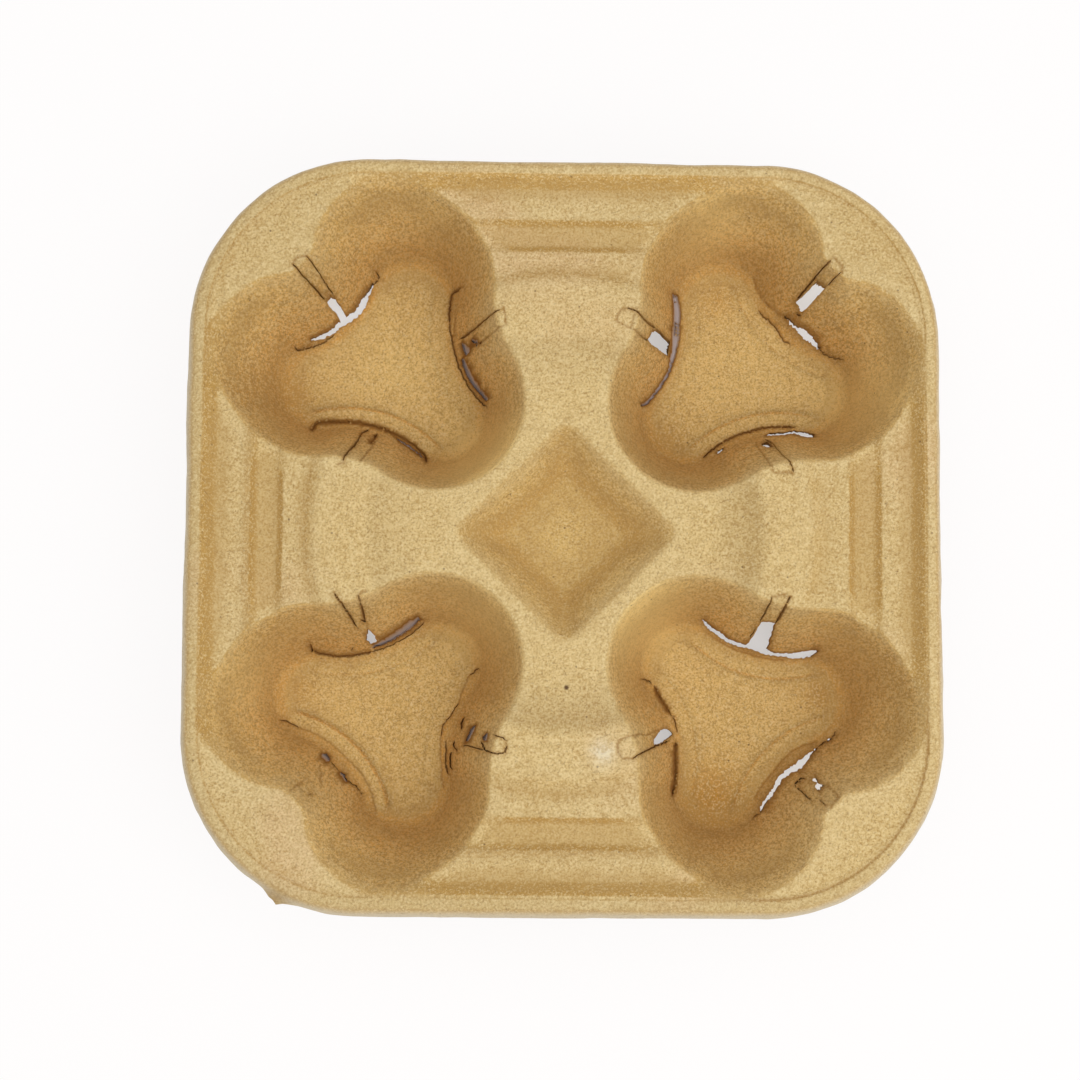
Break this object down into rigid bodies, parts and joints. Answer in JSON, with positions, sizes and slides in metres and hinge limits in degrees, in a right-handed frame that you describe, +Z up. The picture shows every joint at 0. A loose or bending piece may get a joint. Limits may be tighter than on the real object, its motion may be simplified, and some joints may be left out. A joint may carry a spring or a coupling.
{
  "type": "cup carrier",
  "caption": "Moulded pulp carrier for drink cups: thin square tray with lobed tapered pockets, slit flaps, grooved sides, a raised ring and a square centre well.",
  "frame": {"origin": "centre of the tray at the table, under the middle of the well", "axes": "+Z up out of the pockets, +X to the right and +Y to the back as the picture shows it"},
  "size_m": [0.21, 0.21, 0.045],
  "materials": {
    "pulp": "rough tan moulded pulp with fine fibres and dark specks"
  },
  "bodies": {
    "root": {"carrier": "pulp"}
  },
  "joints": []
}
